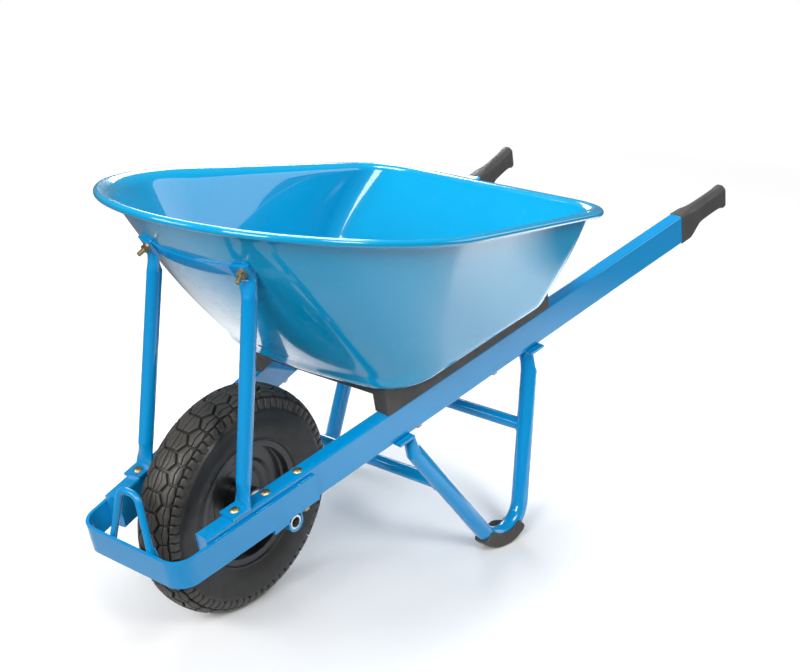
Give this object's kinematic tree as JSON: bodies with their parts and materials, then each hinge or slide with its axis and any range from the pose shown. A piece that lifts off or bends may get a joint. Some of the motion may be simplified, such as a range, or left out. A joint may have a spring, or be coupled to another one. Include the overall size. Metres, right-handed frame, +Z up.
{
  "type": "wheelbarrow",
  "caption": "Garden wheelbarrow with a pressed steel tray on two straight rails, a pneumatic wheel, bent tube legs and moulded grips.",
  "frame": {"origin": "on the ground under the centre of the whole barrow's box", "axes": "+X forward to the wheel, +Y the user's left, +Z up"},
  "size_m": [1.4466, 0.6824, 0.7311],
  "materials": {
    "paint": "glossy enamel",
    "tray_paint": "glossy enamel",
    "zinc": "bright zinc plate",
    "yellow_zinc": "yellow zinc plate",
    "bearing_steel": "ground",
    "tyre": "moulded rubber",
    "tube_rubber": "smooth rubber",
    "black_paint": "gloss black",
    "grip": "moulded rubber",
    "moulding": "moulded plastic"
  },
  "bodies": {
    "frame": {"rail_left": "paint", "rail_right": "paint", "nose_bar": "paint", "nose_hoop": "paint", "axle_pad_left": "paint", "axle_pad_right": "paint", "axle_clamp_left": "paint", "axle_clamp_right": "paint", "stay_left": "paint", "stay_right": "paint", "stay_strap": "paint", "leg_left": "paint", "leg_right": "paint", "brace_rear": "paint", "brace_front": "paint", "rail_cap_left": "paint", "rail_cap_right": "paint", "tray": "tray_paint", "axle_tube": "zinc", "axle_spacer_left": "zinc", "axle_spacer_right": "zinc", "clamp_bolts": "yellow_zinc", "clamp_washers": "yellow_zinc", "clamp_nuts": "yellow_zinc", "stay_foot_bolts": "yellow_zinc", "stay_foot_washers": "yellow_zinc", "stay_foot_nuts": "yellow_zinc", "stay_top_bolts": "yellow_zinc", "stay_top_washers": "yellow_zinc", "stay_top_nuts": "yellow_zinc", "tray_bolts": "yellow_zinc", "tray_washers": "yellow_zinc", "tray_nuts": "yellow_zinc", "bearing_inner_left": "bearing_steel", "bearing_inner_right": "bearing_steel", "grip_left": "grip", "grip_right": "grip", "foot_shoe_left": "moulding", "foot_shoe_right": "moulding", "tray_packer_left": "moulding", "tray_packer_right": "moulding", "packer_bridge": "moulding"},
    "wheel": {"tyre": "tyre", "inner_tube": "tube_rubber", "rim_left": "black_paint", "rim_right": "black_paint", "valve_stem": "tube_rubber", "valve_cap": "moulding", "hub": "black_paint", "bearing_outer_left": "bearing_steel", "bearing_outer_right": "bearing_steel", "bearing_balls_left": "bearing_steel", "bearing_balls_right": "bearing_steel", "bearing_shield_left": "bearing_steel", "bearing_shield_right": "bearing_steel"}
  },
  "joints": [
    {"name": "wheel_spin", "type": "hinge", "parent": "frame", "child": "wheel", "pos_m": [0.481, 0, 0.2], "axis": [0, 1, 0], "continuous": true}
  ]
}
